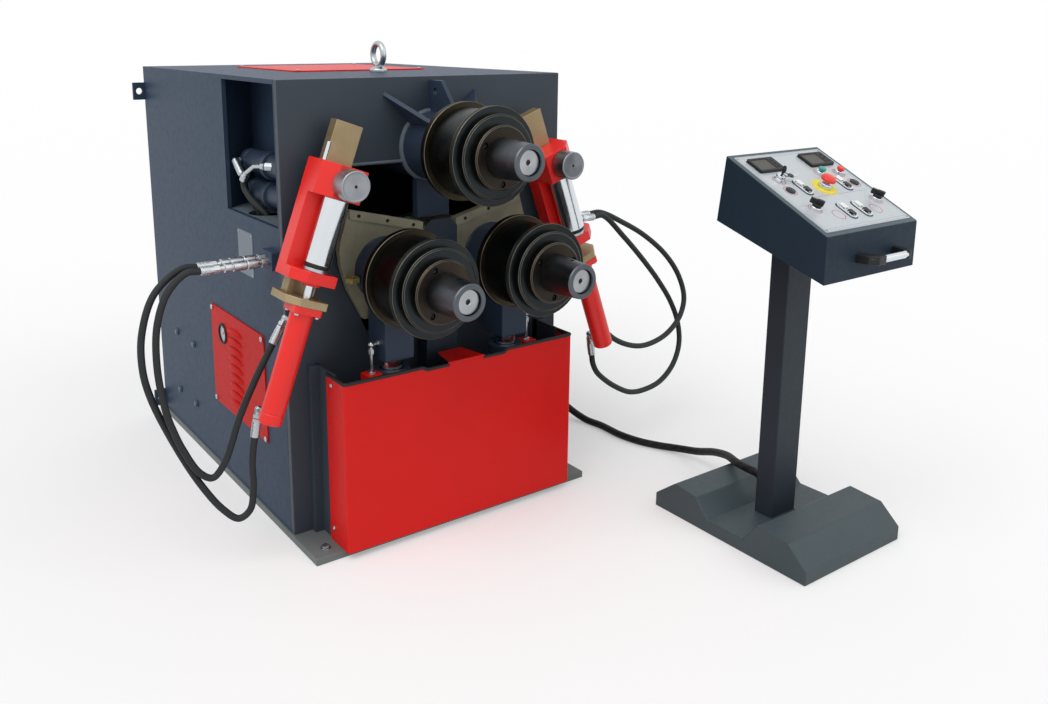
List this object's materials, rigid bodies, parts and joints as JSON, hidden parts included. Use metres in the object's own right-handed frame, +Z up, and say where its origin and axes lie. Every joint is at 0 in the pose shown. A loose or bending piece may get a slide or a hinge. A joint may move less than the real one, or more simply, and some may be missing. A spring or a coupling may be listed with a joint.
{
  "type": "ring roller",
  "caption": "Hydraulic ring roller: a floor-standing bending machine with a fixed upper roll, two swing-up lower rolls, leaning side guides and a stand-alone control console.",
  "frame": {"origin": "on the base plate's underside, on the machine's centre line, in line with the face of the front panel", "axes": "+X to the right along the front, +Y into the machine from the front, +Z up"},
  "size_m": [1.8845, 2.1026, 1.3434],
  "materials": {
    "base_paint": "textured dark slate enamel",
    "side_paint": "satin slate blue enamel on steel plate",
    "front_paint": "satin charcoal enamel on steel plate",
    "red_paint": "gloss red powder coat",
    "blue_grey_paint": "satin blue-grey enamel",
    "console_paint": "textured navy enamel",
    "roll_steel": "turned, blackened tool steel, oiled",
    "ground_steel": "turned and faced bright steel",
    "arm_steel": "oiled raw steel plate with a khaki tint",
    "gold_zinc": "yellow zinc passivated, ground slide faces",
    "zinc_steel": "bright zinc plated",
    "chrome": "hard chrome, polished",
    "hose_rubber": "wrapped black hose rubber",
    "panel_face": "anodised sheet with a clear film",
    "black_plastic": "moulded black",
    "white_plastic": "moulded white",
    "red_plastic": "moulded red",
    "green_plastic": "moulded green lens"
  },
  "bodies": {
    "machine": {"base_frame": "base_paint", "cabinet_shell": "side_paint", "front_panel": "front_paint", "top_hatch": "red_paint", "lifting_eye": "zinc_steel", "louvre_panel": "red_paint", "front_cover": "red_paint", "power_unit": "blue_grey_paint", "left_lift_cylinder": "blue_grey_paint", "right_lift_cylinder": "blue_grey_paint", "left_guide_slide_frame": "gold_zinc", "right_guide_slide_frame": "gold_zinc", "left_guide_cylinder": "red_paint", "right_guide_cylinder": "red_paint", "left_couplers": "zinc_steel", "right_couplers": "zinc_steel", "left_upper_hose": "hose_rubber", "left_lower_hose": "hose_rubber", "right_upper_hose": "hose_rubber", "right_lower_hose": "hose_rubber", "control_cable": "hose_rubber", "console_pedestal": "base_paint", "console_box": "console_paint", "control_panel": "panel_face"},
    "top_roll": {"top_shaft": "ground_steel", "top_rear_disc": "roll_steel", "top_front_disc": "roll_steel", "top_shaft_nut": "roll_steel"},
    "left_arm": {"left_swing_arm": "arm_steel"},
    "right_arm": {"right_swing_arm": "arm_steel"},
    "left_roll": {"left_shaft": "ground_steel", "left_rear_disc": "roll_steel", "left_front_disc": "roll_steel", "left_shaft_nut": "roll_steel"},
    "right_roll": {"right_shaft": "ground_steel", "right_rear_disc": "roll_steel", "right_front_disc": "roll_steel", "right_shaft_nut": "roll_steel"},
    "left_lift": {"left_lift_head": "blue_grey_paint"},
    "right_lift": {"right_lift_head": "blue_grey_paint"},
    "left_carriage": {"left_guide_carriage": "red_paint"},
    "right_carriage": {"right_guide_carriage": "red_paint"},
    "left_long_roller": {"left_guide_roller": "chrome"},
    "right_long_roller": {"right_guide_roller": "chrome"},
    "left_disc_roller": {"left_guide_disc_roller": "ground_steel"},
    "right_disc_roller": {"right_guide_disc_roller": "ground_steel"},
    "stop_button": {"emergency_stop": "red_plastic"},
    "key": {"key_switch": "chrome"},
    "green": {"green_button": "green_plastic"},
    "red": {"red_button": "red_plastic"},
    "left_knob": {"left_selector": "black_plastic"},
    "right_knob": {"right_selector": "black_plastic"},
    "push_1_upper": {"pusher_1_upper": "white_plastic"},
    "push_1_lower": {"pusher_1_lower": "black_plastic"},
    "push_2_upper": {"pusher_2_upper": "white_plastic"},
    "push_2_lower": {"pusher_2_lower": "black_plastic"},
    "push_3_upper": {"pusher_3_upper": "white_plastic"},
    "push_3_lower": {"pusher_3_lower": "black_plastic"},
    "push_4_upper": {"pusher_4_upper": "white_plastic"},
    "push_4_lower": {"pusher_4_lower": "black_plastic"}
  },
  "joints": [
    {"name": "top_roll_spin", "type": "hinge", "parent": "machine", "child": "top_roll", "pos_m": [0, -0.25, 1.06], "axis": [0, 1, 0], "continuous": true},
    {"name": "left_arm_swing", "type": "hinge", "parent": "machine", "child": "left_arm", "pos_m": [0, 0, 0.79], "axis": [0, 1, 0], "range_deg": [0, 28]},
    {"name": "right_arm_swing", "type": "hinge", "parent": "machine", "child": "right_arm", "pos_m": [0, 0, 0.79], "axis": [0, -1, 0], "range_deg": [0, 28]},
    {"name": "left_roll_spin", "type": "hinge", "parent": "left_arm", "child": "left_roll", "pos_m": [-0.175, -0.25, 0.74], "axis": [0, 1, 0], "continuous": true},
    {"name": "right_roll_spin", "type": "hinge", "parent": "right_arm", "child": "right_roll", "pos_m": [0.175, -0.25, 0.74], "axis": [0, 1, 0], "continuous": true},
    {"name": "left_lift_slide", "type": "slide", "parent": "machine", "child": "left_lift", "axis": [0, 0, 1], "range_m": [0, 0.086]},
    {"name": "right_lift_slide", "type": "slide", "parent": "machine", "child": "right_lift", "axis": [0, 0, 1], "range_m": [0, 0.086]},
    {"name": "left_guide_slide", "type": "slide", "parent": "machine", "child": "left_carriage", "axis": [0.342, 0, 0.9397], "range_m": [-0.03, 0.1]},
    {"name": "right_guide_slide", "type": "slide", "parent": "machine", "child": "right_carriage", "axis": [-0.342, 0, 0.9397], "range_m": [-0.03, 0.1]},
    {"name": "left_long_roller_spin", "type": "hinge", "parent": "left_carriage", "child": "left_long_roller", "pos_m": [-0.342, -0.125, 1], "axis": [0.342, 0, 0.9397], "continuous": true},
    {"name": "right_long_roller_spin", "type": "hinge", "parent": "right_carriage", "child": "right_long_roller", "pos_m": [0.342, -0.125, 1], "axis": [-0.342, 0, 0.9397], "continuous": true},
    {"name": "left_disc_roller_spin", "type": "hinge", "parent": "left_carriage", "child": "left_disc_roller", "pos_m": [-0.342, -0.18, 1], "axis": [0, 1, 0], "continuous": true},
    {"name": "right_disc_roller_spin", "type": "hinge", "parent": "right_carriage", "child": "right_disc_roller", "pos_m": [0.342, -0.18, 1], "axis": [0, 1, 0], "continuous": true},
    {"name": "emergency_stop_push", "type": "slide", "parent": "machine", "child": "stop_button", "axis": [0, 0.4483, -0.8939], "range_m": [0, 0.006]},
    {"name": "key_turn", "type": "hinge", "parent": "machine", "child": "key", "pos_m": [0.59956, -0.70721, 0.99772], "axis": [0, -0.4483, 0.8939], "range_deg": [0, 90]},
    {"name": "green_push", "type": "slide", "parent": "machine", "child": "green", "axis": [0, 0.4483, -0.8939], "range_m": [0, 0.003], "stiffness_N_per_m": 300, "springref_m": -0.002},
    {"name": "red_push", "type": "slide", "parent": "machine", "child": "red", "axis": [0, 0.4483, -0.8939], "range_m": [0, 0.003], "stiffness_N_per_m": 300, "springref_m": -0.002},
    {"name": "left_selector_turn", "type": "hinge", "parent": "machine", "child": "left_knob", "pos_m": [0.59956, -0.82109, 0.9406], "axis": [0, -0.4483, 0.8939], "range_deg": [-45, 45]},
    {"name": "right_selector_turn", "type": "hinge", "parent": "machine", "child": "right_knob", "pos_m": [0.85336, -0.82109, 0.9406], "axis": [0, -0.4483, 0.8939], "range_deg": [-45, 45]},
    {"name": "push_1_upper_press", "type": "slide", "parent": "machine", "child": "push_1_upper", "axis": [0, 0.4483, -0.8939], "range_m": [0, 0.003], "stiffness_N_per_m": 300, "springref_m": -0.002},
    {"name": "push_1_lower_press", "type": "slide", "parent": "machine", "child": "push_1_lower", "axis": [0, 0.4483, -0.8939], "range_m": [0, 0.003], "stiffness_N_per_m": 300, "springref_m": -0.002},
    {"name": "push_2_upper_press", "type": "slide", "parent": "machine", "child": "push_2_upper", "axis": [0, 0.4483, -0.8939], "range_m": [0, 0.003], "stiffness_N_per_m": 300, "springref_m": -0.002},
    {"name": "push_2_lower_press", "type": "slide", "parent": "machine", "child": "push_2_lower", "axis": [0, 0.4483, -0.8939], "range_m": [0, 0.003], "stiffness_N_per_m": 300, "springref_m": -0.002},
    {"name": "push_3_upper_press", "type": "slide", "parent": "machine", "child": "push_3_upper", "axis": [0, 0.4483, -0.8939], "range_m": [0, 0.003], "stiffness_N_per_m": 300, "springref_m": -0.002},
    {"name": "push_3_lower_press", "type": "slide", "parent": "machine", "child": "push_3_lower", "axis": [0, 0.4483, -0.8939], "range_m": [0, 0.003], "stiffness_N_per_m": 300, "springref_m": -0.002},
    {"name": "push_4_upper_press", "type": "slide", "parent": "machine", "child": "push_4_upper", "axis": [0, 0.4483, -0.8939], "range_m": [0, 0.003], "stiffness_N_per_m": 300, "springref_m": -0.002},
    {"name": "push_4_lower_press", "type": "slide", "parent": "machine", "child": "push_4_lower", "axis": [0, 0.4483, -0.8939], "range_m": [0, 0.003], "stiffness_N_per_m": 300, "springref_m": -0.002}
  ],
  "couplings": [
    {"joint": "left_roll_spin", "follows": "top_roll_spin", "ratio": -1},
    {"joint": "right_roll_spin", "follows": "top_roll_spin", "ratio": -1},
    {"joint": "left_lift_slide", "follows": "left_arm_swing", "m_per_rad": 0.175},
    {"joint": "right_lift_slide", "follows": "right_arm_swing", "m_per_rad": 0.175}
  ]
}
